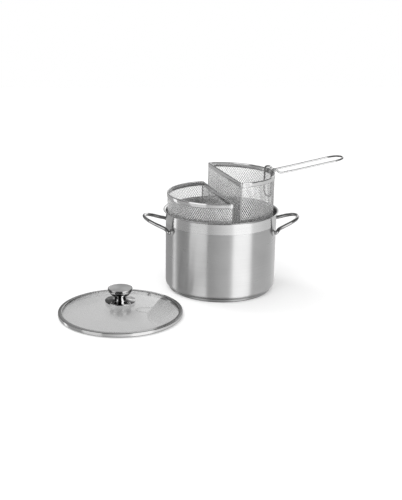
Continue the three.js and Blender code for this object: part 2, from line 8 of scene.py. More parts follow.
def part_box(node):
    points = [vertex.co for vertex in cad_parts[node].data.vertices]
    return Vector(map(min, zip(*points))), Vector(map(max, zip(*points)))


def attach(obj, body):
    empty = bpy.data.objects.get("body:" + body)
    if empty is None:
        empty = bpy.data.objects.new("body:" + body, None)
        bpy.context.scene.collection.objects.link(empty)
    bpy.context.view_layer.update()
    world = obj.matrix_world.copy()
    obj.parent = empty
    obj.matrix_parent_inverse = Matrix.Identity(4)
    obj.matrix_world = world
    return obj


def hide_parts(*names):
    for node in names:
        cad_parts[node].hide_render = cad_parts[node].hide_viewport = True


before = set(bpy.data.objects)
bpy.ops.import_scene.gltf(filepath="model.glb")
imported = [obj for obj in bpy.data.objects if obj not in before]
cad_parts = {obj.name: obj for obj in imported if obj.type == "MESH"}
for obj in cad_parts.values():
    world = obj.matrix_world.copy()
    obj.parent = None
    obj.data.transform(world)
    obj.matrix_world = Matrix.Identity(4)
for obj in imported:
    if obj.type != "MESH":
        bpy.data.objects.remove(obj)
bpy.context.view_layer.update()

# Pasta pot with two mesh draining baskets, a wire handle and a glass lid.
# Metres, +Z up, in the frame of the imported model. Small sizes are written in millimetres.
scene = bpy.context.scene
MM = 0.001

# Pot
LIP_WIDTH = 5.3 * MM
LIP_BEND = 3.5 * MM
LIP_THICKNESS = 1.2 * MM
WALL = 0.8 * MM
POT_CORNER = 10 * MM
BAND_HEIGHT = 25.9 * MM
BAND_GROOVE = 0.12 * MM
CAP_STEP = 6.8 * MM
CAP_CORNER = 3.5 * MM
CAP_GROOVE = 0.3 * MM
CAP_GROOVE_SHARE = 0.12
CAP_GAP = 0.02 * MM

# Side handles: the rod, its feet and the shares of reach, half spacing and climb of its loop
SIDE_ROD = 3.9 * MM
SIDE_REACH = 51.4 * MM
SIDE_DROP = 38.5 * MM
SIDE_CLIMB = 23 * MM
SIDE_SPACING = 104 * MM
SIDE_LOOP_SHARES = ((0.18, 0.9, 0.24), (0.39, 0.76, 0.43), (0.68, 0.61, 0.7), (0.89, 0.4, 0.89))
SIDE_LOOP_STEPS = 120
SIDE_ROOT_SHARE = 1.08
SIDE_TIP_SHARE = 0.92
PAD_WIDTH = 12 * MM
PAD_HEIGHT = 13 * MM
PAD_THICKNESS = 2.4 * MM
PAD_CORNER = 3.4 * MM
PAD_BOSS_WIDTH = 1.1 * MM
SEAT_GAP = 0.3 * MM

# Lid
RING_WIDTH = 6.2 * MM
RING_HEIGHT = 9.2 * MM
RING_EDGE = 0.5 * MM
RING_LIP = 1.6 * MM
RING_LIP_TOP_SHARE = 0.7
RING_TOP_BEND = 1.2 * MM
SKIRT_HEIGHT = 3.2 * MM
SKIRT_SHEET = 1.2 * MM
SKIRT_CLEARANCE = 1.6 * MM
GLASS_THICKNESS = 4 * MM
GLASS_GRIP = 3 * MM
GLASS_STEPS = 40
DOME_RISE = 20 * MM
VENT_RADIUS = 3 * MM
VENT_INSET = 31.9 * MM
VENT_BEARING = radians(49)
EYELET_WALL = 0.9 * MM
EYELET_LIP = 1.5 * MM
EYELET_LIP_THICKNESS = 0.6 * MM
EYELET_LIP_TOP_SHARE = 0.8
EYELET_EDGE = 0.2 * MM
EYELET_MOUTH = 0.5 * MM

# Knob: flange, body, cap and the screw from below
FLANGE_SIDE = 1.4 * MM
FLANGE_RISE = 2.6 * MM
FLANGE_EDGE = 0.5 * MM
FLANGE_BEND = 3 * MM
KNOB_SEAT = 15 * MM
KNOB_HEIGHT_SHARES = (0, 0.12, 0.26, 0.45, 0.62, 0.76, 0.9, 1)
KNOB_BODY_RADII = (11.5, 11.9, 13.6, 18.2, 21.4, 23.5, 24.6, 24.8)
KNOB_BODY_STEPS = 56
KNOB_LOW_BEND = 0.7 * MM
KNOB_HIGH_BEND = 0.9 * MM
KNOB_DISH = 0.25 * MM
KNOB_DISH_BEND = 1 * MM
KNOB_DISH_SHARES = (0.93, 0.9)
KNOB_FACE_SHARE = 0.935
SCREW_RADIUS = 3 * MM
SCREW_EDGE = 0.2 * MM
SCREW_HEAD_BEND = 1.2 * MM
SCREW_TIP_BEND = 0.7 * MM
SLOT_WIDTH = 1.2 * MM
SLOT_DEPTH = 1 * MM
SLOT_REACH_SHARE = 1.2

# Baskets, in a frame of their own: the flat side lies in x = 0, the round side towards +x
BASKET_OFFSETS = {"left": 7.2 * MM, "right": 3.2 * MM}
BASKET_TURNS = {"left": radians(193.4), "right": radians(14)}
ARC_RADIUS = 114.5 * MM
ARC_CENTRE = -3 * MM
CORNER_RADIUS = 6 * MM
RIM_HEIGHT = 10.5 * MM
BASE_HEIGHT = 6 * MM
HEM_THICKNESS = 3.2 * MM
HEM_STEPS = 32
HEM_BEND_STEPS = (10, 128, 10)
HEM_SQUARE_UP = 0.8
HEM_SQUARE_ACROSS = 0.62
MESH_INSET = 1.6 * MM
RIVET_RADIUS = 2.3 * MM
RIVET_RISE = 0.8 * MM
RIVET_SPACING = 6 * MM
RIVET_SINK = 0.05 * MM
RIVET_BRIM_SHARE = 0.34
RIVET_DISH_BRIMS = 2.1
RIVET_DISH_SHARES = (0.15, 0.1)
RIVET_SIDES = 24
STRIP_WIDTH = 3 * MM
STRIP_OUTER = 0.35 * MM
STRIP_INNER = 1.25 * MM
STRIP_OVERLAP = 1 * MM
STRIP_PRESS = 0.45 * MM
STRIP_STEPS = 8
STRIP_LEVELS = 160
STRIP_SPOT_POWER = 3

# Diamond mesh
CELL_WIDTH = 4.6 * MM
CELL_HEIGHT = 7.6 * MM
STRAND = 0.86 * MM
STRAND_THICKNESS = 0.6 * MM
STRAND_TWIST = 0.16 * MM
HOLE_POINT_SHARE = 0.93
HOLE_SIDE_SHARE = 1.04
MESH_MARGIN = 3 * MM
MESH_FLOOR_LIFT = 2 * MM

# Detachable handle
WIRE = 2 * MM
WIRE_STEPS = 360
GRIP_WIDTH = 47 * MM
GRIP_LENGTH = 169.8 * MM
GRIP_RISE = radians(9.4)
GRIP_DROP = 6.6 * MM
GRIP_EASE = 1.65 * MM
HOOK_WIDTH = 40 * MM
HOOK_DEPTH = 58 * MM
HOOK_CORNER = 12 * MM
HOOK_GAP = 1.2 * MM
TIP_BEND_LENGTH = 26 * MM
CLIP_LENGTH = 50 * MM
CLIP_WIDTH = 5 * MM
CLIP_THICKNESS = 1 * MM
CLIP_BEVEL = 0.3 * MM
CLIP_CORNER_SHARE = 0.4

# Corners of a square that reaches 1 to each side
SQUARE = ((-1, -1), (1, -1), (1, 1), (-1, 1))

# Smoothness
TURN_SIDES = 192
SMALL_SIDES = 64
ROD_SIDES = 20
FILLET_STEPS = 5
CREASE = radians(40)
TINY = 1e-7

# Textures: scales are waves per metre, for lines along and across them
NOISE_LOW = 0.3
NOISE_HIGH = 0.7
HAIRLINES = (9.0, 2600.0)
BROAD_LINES = (5.0, 260.0)
HAIRLINE_SHARE = 0.65
HAIRLINE_STRENGTH = 0.12
HAIRLINE_DEPTH = 0.02 * MM
FINE_LINE_DEPTH = 0.01 * MM
BRUSHED_TONE_SHARES = (0.95, 1.05)
BRUSHED_GLOSS = 0.03
SMUDGE_SCALE = 22.0
SMUDGE_GLOSS = (-0.015, 0.02)
SMEAR_SCALE = 30.0
STRAND_SCALE = 240.0
STRAND_TONES = (0.76, 0.92)
PATCH_SCALE = 35.0
PATCH_GLOSS = (0.15, 0.24)
WIPE_SCALE = 90.0
WIPE_TONE_SHARES = (0.98, 1.02)
WIPE_GLOSS_SHARES = (0.7, 1.4)
RIPPLE_SCALE = 45.0
RIPPLE_STRENGTH = 0.25
RIPPLE_DEPTH = 0.02 * MM
GLASS_TONE = 0.72
GLASS_SHADE = 0.76
GLASS_IOR = 1.5
GLASS_ROUGHNESS = 0.01
SWAY_SCALE = 160.0
SWAY = 0.02
GRAIN_SCALE = 900.0
GRAIN_STRENGTH = 0.2
GRAIN_DEPTH = 0.05 * MM

# Camera, fitted to the photograph
CAMERA_PLACE = (-0.1384, -1.7925, 0.6330)
CAMERA_PITCH = radians(90 - 17.08)
CAMERA_LENS = 60.76
CAMERA_SHIFT = 0.0864

# Painted reflections on the polished knob, and painted highlights and shade inside the pot: shares of
# tone by compass angle from the front
KNOB_PAINTED_REFLECTIONS = (
    (-180, 0.3), (-150, 0.7), (-125, 0.2), (-100, 0.6), (-84, 0.12), (-46, 0.08), (-38, 0.8),
    (-24, 0.7), (-18, 0.12), (8, 0.08), (16, 0.85), (40, 0.95), (50, 0.15), (68, 0.1), (82, 0.7),
    (110, 0.2), (140, 0.7), (180, 0.3),
)
SATIN_PAINTED_SHADING = (
    (-180, 1), (-150, 1.1), (-120, 0.9), (-90, 0.7), (-60, 0.9), (0, 1), (60, 0.9), (88, 0.35),
    (106, 0.5), (116, 1), (124, 1.5), (134, 1.4), (141, 0.45), (166, 0.45), (176, 0.9), (180, 1),
)

# Studio: the brightness of its zones by compass angle from the front, right positive
TABLE_BANDS = (
    (-180, 0.3), (-80, 0.38), (-70, 1.2), (-38, 1.15), (-30, 0.5), (18, 0.48), (30, 2), (62, 2),
    (72, 0.45), (130, 0.38), (180, 0.3),
)
LOW_BANDS = (
    (-180, 0.52), (-122, 0.48), (-118, 1.6), (-112, 1.6), (-108, 0.5), (-71, 0.47), (-68, 0.96),
    (-33, 0.96), (-30, 0.58), (20, 1.17), (24, 1.52), (61, 1.52), (64, 1.1), (100, 0.86),
    (130, 0.8), (180, 0.52),
)
HORIZON_BANDS = (
    (-180, 0.6), (-168, 0.16), (-148, 0.1), (-124, 0.3), (-119, 0.05), (-72, 0.04), (-68, 1.8),
    (-33, 1.7), (-29, 0.28), (20, 0.55), (24, 1.6), (61, 1.6), (65, 0.1), (122, 0.08), (132, 0.8),
    (150, 1.6), (165, 1.5), (180, 0.6),
)
HIGH_BANDS = (
    (-180, 0.8), (-165, 0.3), (-150, 0.12), (-122, 0.4), (-80, 0.9), (-72, 0.1), (-68, 0.8),
    (-36, 0.8), (-31, 0.12), (20, 0.12), (25, 1.5), (60, 1.5), (65, 0.3), (75, 0.12), (140, 0.12),
    (155, 1.3), (170, 1.1), (180, 0.8),
)

# Each zone takes over from the one below between two heights of the direction looked in
UNDER = 0.1
ZONES = (
    ((-0.92, -0.74), TABLE_BANDS),
    ((-0.7, -0.42), LOW_BANDS),
    ((-0.12, -0.04), HORIZON_BANDS),
    ((0.26, 0.42), HIGH_BANDS),
)
ZENITH = 0.12
ZENITH_SPAN = (0.62, 0.8)
FLOOR_SIZE = 8.0
FLOOR_DROP = 0.05 * MM
FLOOR_TONE = 0.65
FLOOR_LIFT = 0.35

# Lamps: the direction each shines from, its width in degrees and the level it gives white paper
LAMPS = {
    "key_box": ((-0.6, 0.42, 1.1), 18, 0.18),
    "top_box": ((-0.15, 0.0, 1.0), 60, 0.42),
    "front_box": ((-0.2, -0.9, 1.0), 50, 0.34),
}


# Profiles and paths

def filleted(corners, closed=True):
    """Rounds the corners of an outline: each is (x, y, radius), and 0 keeps a corner sharp."""
    points = []
    count = len(corners)
    for i, (x, y, radius) in enumerate(corners):
        here = Vector((x, y))
        at_end = not closed and i in (0, count - 1)
        if radius == 0 or at_end:
            points.append((x, y))
            continue
        back = (Vector(corners[i - 1][:2]) - here).normalized()
        ahead = (Vector(corners[(i + 1) % count][:2]) - here).normalized()
        half = back.angle(ahead) / 2
        reach = radius / tan(half)
        centre = here + (back + ahead).normalized() * (radius / sin(half))
        first = here + back * reach - centre
        last = here + ahead * reach - centre
        for k in range(FILLET_STEPS + 1):
            share = k / FILLET_STEPS
            spoke = (first.lerp(last, share)).normalized() * radius
            points.append(tuple(centre + spoke))
    return points


def arc(centre_r, centre_z, radius, from_degrees, to_degrees, steps=8):
    points = []
    for i in range(steps + 1):
        angle = radians(from_degrees + (to_degrees - from_degrees) * i / steps)
        points.append((centre_r + radius * cos(angle), centre_z + radius * sin(angle)))
    return points


def rounded_rectangle(left, right, low, high, radius):
    corners = ((left, low), (right, low), (right, high), (left, high))
    return filleted([(*corner, radius) for corner in corners])


def spline_through(points, steps):
    """A centripetal Catmull-Rom curve through the points, at even steps of its parameter."""
    points = [Vector(p) for p in points]
    ends = [2 * points[0] - points[1], *points, 2 * points[-1] - points[-2]]
    spans = len(points) - 1
    curve = []
    for k in range(steps + 1):
        at = min(k * spans / steps, spans - TINY)
        i = int(at)
        t = at - i
        p0, p1, p2, p3 = ends[i:i + 4]
        d0 = (p1 - p0).length ** 0.5
        d1 = (p2 - p1).length ** 0.5
        d2 = (p3 - p2).length ** 0.5
        m1 = ((p1 - p0) / d0 - (p2 - p0) / (d0 + d1) + (p2 - p1) / d1) * d1
        m2 = ((p2 - p1) / d1 - (p3 - p1) / (d1 + d2) + (p3 - p2) / d2) * d1
        curve.append(
            p1
            + m1 * t
            + (3 * (p2 - p1) - 2 * m1 - m2) * t ** 2
            + (2 * (p1 - p2) + m1 + m2) * t ** 3
        )
    return curve


# Meshes

def tube_faces(rings, count, loop=False):
    """Joins rings of count points by quads, and closes the tube at its ends or into a loop."""
    faces = []
    for i in range(rings if loop else rings - 1):
        low = i * count
        high = (i + 1) % rings * count
        for k in range(count):
            after = (k + 1) % count
            faces.append((low + k, low + after, high + after, high + k))
    if not loop:
        last = (rings - 1) * count
        faces += [tuple(range(count)), tuple(range(last, last + count))]
    return faces


def add_piece(name, points, faces, materials, place=None, slots=None):
    """A smooth mesh object. slots gives each face's material, and place is its matrix."""
    mesh = bpy.data.meshes.new(name)
    mesh.from_pydata([tuple(p) for p in points], [], faces)
    for material in materials:
        mesh.materials.append(material)
    if slots:
        mesh.polygons.foreach_set("material_index", slots)
    shell = bmesh.new()
    shell.from_mesh(mesh)
    bmesh.ops.recalc_face_normals(shell, faces=shell.faces)
    shell.to_mesh(mesh)
    shell.free()
    mesh.shade_smooth()
    mesh.set_sharp_from_angle(angle=CREASE)
    piece = bpy.data.objects.new(name, mesh)
    if place:
        piece.matrix_world = place
    scene.collection.objects.link(piece)
    return piece


def turned(name, profile, materials, place=None, sides=TURN_SIDES, slot_at=None):
    """A body turned about its own Z from (radius, height) points, closed or from axis to axis."""
    points = []
    rings = []
    for radius, height in profile:
        if radius < TINY:
            rings.append([len(points)] * sides)
            points.append((0, 0, height))
            continue
        rings.append(list(range(len(points), len(points) + sides)))
        for k in range(sides):
            angle = 2 * pi * k / sides
            points.append((radius * cos(angle), radius * sin(angle), height))
    on_axis = profile[0][0] < TINY and profile[-1][0] < TINY
    spans = len(profile) - 1 if on_axis else len(profile)
    faces = []
    slots = []
    for i in range(spans):
        following = (i + 1) % len(profile)
        low = rings[i]
        high = rings[following]
        slot = slot_at(*profile[i], *profile[following]) if slot_at else 0
        for k in range(sides):
            after = (k + 1) % sides
            corners = (low[k], low[after], high[after], high[k])
            face = tuple(dict.fromkeys(corners))
            if len(face) > 2:
                faces.append(face)
                slots.append(slot)
    return add_piece(name, points, faces, materials, place, slots)


def rod(name, path, radii, material, place):
    """A round rod along a path, with a radius for each of its points."""
    points = []
    tangent = (path[1] - path[0]).normalized()
    side = tangent.orthogonal().normalized()
    for i, centre in enumerate(path):
        ahead = path[min(i + 1, len(path) - 1)] - path[max(i - 1, 0)]
        tangent = ahead.normalized()
        side = (side - tangent * side.dot(tangent)).normalized()
        other = tangent.cross(side)
        for k in range(ROD_SIDES):
            angle = 2 * pi * k / ROD_SIDES
            points.append(centre + (side * cos(angle) + other * sin(angle)) * radii[i])
    return add_piece(name, points, tube_faces(len(path), ROD_SIDES), [material], place)


def finish_piece(piece, body, node):
    """Every piece rides on a body and stands for a CAD node, which is hidden."""
    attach(piece, body)
    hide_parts(node)


def recolour(node, material):
    """Gives a material to a CAD node that is shown as it is."""
    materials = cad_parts[node].data.materials
    materials.clear()
    materials.append(material)


# Materials

def set_inputs(tree, node, inputs):
    """Links each input to a socket or sets it to a value."""
    for key, value in inputs.items():
        if isinstance(value, bpy.types.NodeSocket):
            tree.links.new(value, node.inputs[key])
        else:
            node.inputs[key].default_value = value


def add_node(tree, kind, inputs=(), **settings):
    node = tree.nodes.new(kind)
    for key, value in settings.items():
        setattr(node, key, value)
    set_inputs(tree, node, dict(inputs))
    return node


def math_node(tree, operation, a, b=0.0):
    return add_node(tree, "ShaderNodeMath", {0: a, 1: b}, operation=operation).outputs[0]


def grey(value):
    return (value, value, value, 1)


def even_colour(tree, tone):
    return add_node(tree, "ShaderNodeCombineColor", {0: tone, 1: tone, 2: tone}).outputs[0]


def spread(tree, factor, low, high, scale=1):
    """Maps a noise's middle range to low..high, times a scale."""
    inputs = {0: factor, 1: NOISE_LOW, 2: NOISE_HIGH, 3: low * scale, 4: high * scale}
    return add_node(tree, "ShaderNodeMapRange", inputs).outputs[0]


def noise(tree, vector, scale, detail=2.0):
    inputs = {"Vector": vector, "Scale": scale, "Detail": detail}
    return add_node(tree, "ShaderNodeTexNoise", inputs).outputs[0]


def new_material(name):
    """A material, its node tree, its shader and the place on the object."""
    material = bpy.data.materials.new(name)
    material.use_nodes = True
    tree = material.node_tree
    shader = tree.nodes["Principled BSDF"]
    place = add_node(tree, "ShaderNodeTexCoord").outputs["Object"]
    return material, tree, shader, place


def bump(tree, height, strength, distance):
    inputs = {"Strength": strength, "Distance": distance, "Height": height}
    return add_node(tree, "ShaderNodeBump", inputs).outputs[0]


def turned_lines(tree, place, along, across):
    """Coordinates stretched along the turns about Z: slow round the axis, fast up and outwards."""
    x, y, z = add_node(tree, "ShaderNodeSeparateXYZ", {0: place}).outputs
    squares = [math_node(tree, "MULTIPLY", part, part) for part in (x, y)]
    radius = math_node(tree, "SQRT", math_node(tree, "ADD", *squares))
    climb = math_node(tree, "ADD", radius, z)
    inputs = {
        0: math_node(tree, "MULTIPLY", x, along),
        1: math_node(tree, "MULTIPLY", y, along),
        2: math_node(tree, "MULTIPLY", climb, across),
    }
    return add_node(tree, "ShaderNodeCombineXYZ", inputs).outputs[0]


def compass_turn(tree, way):
    """The angle of a point round the upright axis, from 0 at the back over 0.5 at the front to 1."""
    parts = add_node(tree, "ShaderNodeSeparateXYZ", {0: way}).outputs
    front = math_node(tree, "MULTIPLY", parts[1], -1.0)
    angle = math_node(tree, "ARCTAN2", parts[0], front)
    return math_node(tree, "ADD", math_node(tree, "DIVIDE", angle, 2 * pi), 0.5)


def compass_ramp(tree, turn, bands):
    """A colour ramp over the compass angle, where turn runs from 0 to 1 and bands from end to end."""
    ramp = add_node(tree, "ShaderNodeValToRGB", {0: turn})
    stops = ramp.color_ramp.elements
    for degrees, level in bands[1:-1]:
        stops.new(degrees / 360 + 0.5)
    for stop, (degrees, level) in zip(stops, bands):
        stop.color = grey(level)
    return ramp.outputs[0]


def brushed_steel(name, tone, roughness, anisotropy, depth=HAIRLINE_DEPTH, metal=1.0, bands=None):
    """Steel brushed round its axis: hairlines in tone, gloss and relief. bands paint highlights and
    shade into its tone by compass angle."""
    material, tree, shader, place = new_material(name)
    lines = noise(tree, turned_lines(tree, place, *HAIRLINES), 1.0, 3.0)
    broad = noise(tree, turned_lines(tree, place, *BROAD_LINES), 1.0)
    smudge = noise(tree, place, SMUDGE_SCALE, 3.0)
    fine_part = math_node(tree, "MULTIPLY", lines, HAIRLINE_SHARE)
    broad_part = math_node(tree, "MULTIPLY", broad, 1 - HAIRLINE_SHARE)
    mixed = math_node(tree, "ADD", fine_part, broad_part)
    tint = spread(tree, mixed, *BRUSHED_TONE_SHARES, tone)
    # Painted highlights and shade: the tone is scaled by compass angle
    if bands:
        streaks = compass_ramp(tree, compass_turn(tree, place), bands)
        tint = math_node(tree, "MULTIPLY", tint, streaks)
    gloss = spread(tree, mixed, roughness - BRUSHED_GLOSS, roughness + BRUSHED_GLOSS)
    tangent = add_node(tree, "ShaderNodeTangent", direction_type="RADIAL", axis="Z")
    set_inputs(tree, shader, {
        "Base Color": even_colour(tree, tint),
        "Roughness": math_node(tree, "ADD", gloss, spread(tree, smudge, *SMUDGE_GLOSS)),
        "Metallic": metal,
        "Anisotropic": anisotropy,
        "Anisotropic Rotation": 0.25,
        "Tangent": tangent.outputs[0],
        "Normal": bump(tree, lines, HAIRLINE_STRENGTH, depth),
    })
    return material


def polished_steel(name, tone, roughness, ripple=RIPPLE_DEPTH, metal=1.0, bands=None):
    """Polished steel with faint wipe marks and the soft ripple of rolled sheet. bands paint
    reflections round its axis into its colour in place of its even tone."""
    material, tree, shader, place = new_material(name)
    wipes = noise(tree, place, WIPE_SCALE, 4.0)
    waves = noise(tree, place, RIPPLE_SCALE, 1.0)
    # Painted reflections: streaks of light and dark go into the colour by compass angle, with a little
    # sway
    if bands:
        sway = spread(tree, noise(tree, place, SWAY_SCALE), -SWAY, SWAY)
        turn = math_node(tree, "ADD", compass_turn(tree, place), sway)
        colour = compass_ramp(tree, turn, bands)
    else:
        colour = even_colour(tree, spread(tree, wipes, *WIPE_TONE_SHARES, tone))
    set_inputs(tree, shader, {
        "Base Color": colour,
        "Roughness": spread(tree, wipes, *WIPE_GLOSS_SHARES, roughness),
        "Metallic": metal,
        "Normal": bump(tree, waves, RIPPLE_STRENGTH, ripple),
    })
    return material


def mesh_steel(name):
    """Bright expanded steel: rolled faces with small differences from strand to strand."""
    material, tree, shader, place = new_material(name)
    strands = noise(tree, place, STRAND_SCALE)
    patches = noise(tree, place, PATCH_SCALE)
    set_inputs(tree, shader, {
        "Base Color": even_colour(tree, spread(tree, strands, *STRAND_TONES)),
        "Roughness": spread(tree, patches, *PATCH_GLOSS),
        "Metallic": 0.75,
        "Normal": bump(tree, strands, GRAIN_STRENGTH, GRAIN_DEPTH),
    })
    return material


def lid_glass(name):
    """Clear tempered glass. Light that passes through it keeps most of its strength."""
    material, tree, shader, place = new_material(name)
    set_inputs(tree, shader, {
        "Base Color": grey(GLASS_TONE),
        "Transmission Weight": 1.0,
        "IOR": GLASS_IOR,
        "Roughness": spread(tree, noise(tree, place, SMEAR_SCALE, 3.0), 0.0, GLASS_ROUGHNESS),
    })
    ray = add_node(tree, "ShaderNodeLightPath").outputs
    clear = add_node(tree, "ShaderNodeBsdfTransparent", {"Color": grey(GLASS_SHADE)})
    straight = math_node(tree, "MAXIMUM", ray["Is Shadow Ray"], ray["Is Diffuse Ray"])
    inputs = {0: straight, 1: shader.outputs[0], 2: clear.outputs[0]}
    mix = add_node(tree, "ShaderNodeMixShader", inputs)
    set_inputs(tree, tree.nodes["Material Output"], {"Surface": mix.outputs[0]})
    return material


def plain_rubber(name):
    material, tree, shader, place = new_material(name)
    grain = noise(tree, place, GRAIN_SCALE)
    set_inputs(tree, shader, {
        "Base Color": grey(0.35),
        "Roughness": 0.7,
        "Normal": bump(tree, grain, GRAIN_STRENGTH, GRAIN_DEPTH),
    })
    return material


def seen_directly(tree):
    """1 for rays from the camera, straight or through glass, and 0 for light and reflections."""
    ray = add_node(tree, "ShaderNodeLightPath").outputs
    return math_node(tree, "MAXIMUM", ray["Is Camera Ray"], ray["Is Transmission Ray"])


def pale_floor(name):
    """White paper sweep: it takes the object's shadow, and its own light lifts it to white in view."""
    material, tree, shader = new_material(name)[:3]
    set_inputs(tree, shader, {
        "Base Color": grey(FLOOR_TONE),
        "Roughness": 0.9,
        "Specular IOR Level": 0.0,
        "Emission Strength": math_node(tree, "MULTIPLY", seen_directly(tree), FLOOR_LIFT),
        "Emission Color": grey(1.0),
    })
    return material


# Brushed metals: tone, roughness and anisotropy, and a depth of the hairlines where it differs
STEEL_BRUSHED = brushed_steel("brushed_steel", 0.62, 0.3, 1.0)
# Inside the pot: painted highlights and shade by compass angle
STEEL_SATIN = brushed_steel("satin_steel", 0.58, 0.26, 0.9, metal=0.85, bands=SATIN_PAINTED_SHADING)
# The base cap's low tone is painted shade where it meets the floor
STEEL_BASE_PAINTED_SHADE = brushed_steel("base_steel_painted_shade", 0.34, 0.3, 0.8)
STEEL_KNOB = brushed_steel("knob_steel", 0.6, 0.3, 0.8)
STEEL_BAND = brushed_steel("band_steel", 0.6, 0.18, 0.6, FINE_LINE_DEPTH)
STEEL_RING = brushed_steel("ring_steel", 0.58, 0.16, 0.6, FINE_LINE_DEPTH)
STEEL_STRIP = brushed_steel("strip_steel", 0.46, 0.5, 0.0, metal=0.5)
CORE_METAL = brushed_steel("core_aluminium", 0.75, 0.45, 0.0)

# Polished steels: tone and roughness, and a depth of the ripple where it differs
STEEL_POLISHED = polished_steel("polished_steel", 0.7, 0.06, 0.04 * MM)
# The knob's trim carries painted reflections in its colour
STEEL_TRIM = polished_steel("knob_trim_steel", None, 0.05, 0.5 * MM, bands=KNOB_PAINTED_REFLECTIONS)
STEEL_ROD = polished_steel("rod_steel", 0.46, 0.06)
STEEL_WIRE = polished_steel("wire_steel", 0.72, 0.28)
# A darker copy of the wire's steel: painted shade for its hook and tip
STEEL_WIRE_PAINTED_SHADE = polished_steel("wire_steel_painted_shade", 0.3, 0.16)
STEEL_HEM = polished_steel("hem_steel", 0.62, 0.08, 4 * MM, 0.82)

STEEL_MESH = mesh_steel("mesh_steel")
GLASS = lid_glass("lid_glass_clear")
RUBBER = plain_rubber("grey_silicone")


# Pot

shell_low, shell_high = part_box("pot_shell")
LIP_RADIUS = shell_high.x
POT_HEIGHT = shell_high.z
SHELL_BOTTOM = shell_low.z
POT_OUTER = LIP_RADIUS - LIP_WIDTH
POT_BORE = POT_OUTER - WALL
BAND_Z = POT_HEIGHT - BAND_HEIGHT


def build_shell():
    """Drawn shell: rounded foot corner, brushed wall, polished band and an outward lip."""
    corner_r = POT_OUTER - POT_CORNER
    corner_z = SHELL_BOTTOM + POT_CORNER
    lip_low = POT_HEIGHT - LIP_THICKNESS
    bend_r = POT_OUTER + LIP_BEND
    lip_mid = (lip_low + POT_HEIGHT) / 2
    lip_round = LIP_THICKNESS / 2
    profile = [
        (0, SHELL_BOTTOM),
        *arc(corner_r, corner_z, POT_CORNER, -90, 0, 12),
        (POT_OUTER, BAND_Z - BAND_GROOVE),
        (POT_OUTER - BAND_GROOVE, BAND_Z),
        (POT_OUTER, BAND_Z + BAND_GROOVE),
        *arc(bend_r, lip_low - LIP_BEND, LIP_BEND, 180, 90, 10),
        *arc(LIP_RADIUS - lip_round, lip_mid, lip_round, -90, 90, 8),
        *arc(bend_r, POT_HEIGHT - LIP_BEND - WALL, LIP_BEND + WALL, 90, 180, 10),
        *arc(corner_r, corner_z, POT_CORNER - WALL, 0, -90, 12),
        (0, SHELL_BOTTOM + WALL),
    ]

    def slot_at(r0, z0, r1, z1):
        inside = r0 < POT_OUTER - WALL / 2 and z1 < z0 + TINY and z0 > SHELL_BOTTOM + WALL / 2
        if inside:
            return 2
        return 1 if z0 >= BAND_Z - TINY else 0

    materials = [STEEL_BRUSHED, STEEL_BAND, STEEL_SATIN]
    shell = turned("pot_body_shell", profile, materials, slot_at=slot_at)
    finish_piece(shell, "pot", "pot_shell")


def build_base():
    """Cap over the sandwich base, with a rounded foot and a fine turned groove under it."""
    outer = POT_OUTER - CAP_STEP
    top = SHELL_BOTTOM - CAP_GAP
    groove_r = outer * CAP_GROOVE_SHARE
    profile = [
        (0, CAP_GROOVE),
        (groove_r, CAP_GROOVE),
        (groove_r + CAP_GROOVE, 0),
        *arc(outer - CAP_CORNER, CAP_CORNER, CAP_CORNER, -90, 0, 10),
        (outer, top - CAP_GROOVE),
        (outer - CAP_GROOVE, top),
        (outer - WALL, top),
        *arc(outer - CAP_CORNER, CAP_CORNER, CAP_CORNER - WALL, 0, -90, 8),
        (0, WALL + CAP_GROOVE),
    ]
    # Its darker steel is painted shade
    cap = turned("pot_base_cap", profile, [STEEL_BASE_PAINTED_SHADE])
    finish_piece(cap, "pot", "base_cap")
    recolour("base_core", CORE_METAL)


SIDE_FOOT_ANGLE = asin(SIDE_SPACING / 2 / POT_OUTER)
PAD_FACE = POT_OUTER + SEAT_GAP
ROD_ROOT = PAD_FACE + PAD_THICKNESS + SEAT_GAP
SIDE_FOOT_Z = POT_HEIGHT - SIDE_DROP


def side_loop_path():
    def square_out(radius):
        return (radius * cos(SIDE_FOOT_ANGLE), radius * sin(SIDE_FOOT_ANGLE), SIDE_FOOT_Z)

    root = square_out(ROD_ROOT)
    tip_x = POT_OUTER + SIDE_REACH - SIDE_ROD
    reach = tip_x - root[0]
    half = [root, square_out(ROD_ROOT + SIDE_ROD)]
    for out, side, up in SIDE_LOOP_SHARES:
        half.append((root[0] + out * reach, side * root[1], SIDE_FOOT_Z + up * SIDE_CLIMB))
    tip = (tip_x, 0, SIDE_FOOT_Z + SIDE_CLIMB)
    other = [(x, -y, z) for x, y, z in reversed(half)]
    return spline_through([*half, tip, *other], SIDE_LOOP_STEPS)


def build_pad(name, node, bearing):
    """A foot: a pressed plate that follows the wall, with a raised boss where the rod is welded."""
    half_width = PAD_WIDTH / 2
    half_height = PAD_HEIGHT / 2
    outline = rounded_rectangle(-half_width, half_width, -half_height, half_height, PAD_CORNER)
    boss = SIDE_ROD + PAD_BOSS_WIDTH
    # Each layer has the outline's share or a radius of its own, and a height in plate thicknesses
    layers = (
        (1.0, 0, 0.0),
        (1.0, 0, 0.55),
        (0.93, 0, 0.68),
        (0.82, 0, 0.72),
        (0, boss * 1.15, 0.76),
        (0, boss, 0.9),
        (0, SIDE_ROD * 1.02, 1.2),
    )
    points = []
    for share, radius, height in layers:
        for y, z in outline:
            if radius:
                y, z = Vector((y, z)).normalized() * radius
                sag = 0
            else:
                y, z = y * share, z * share
                sag = POT_OUTER - sqrt(POT_OUTER ** 2 - y ** 2)
            points.append((PAD_FACE - sag + height * PAD_THICKNESS, y, z))
    faces = tube_faces(len(layers), len(outline))
    place = Matrix.Rotation(bearing, 4, "Z") @ Matrix.Translation((0, 0, SIDE_FOOT_Z))
    pad = add_piece(name, points, faces, [STEEL_POLISHED], place)
    finish_piece(pad, "pot", node)


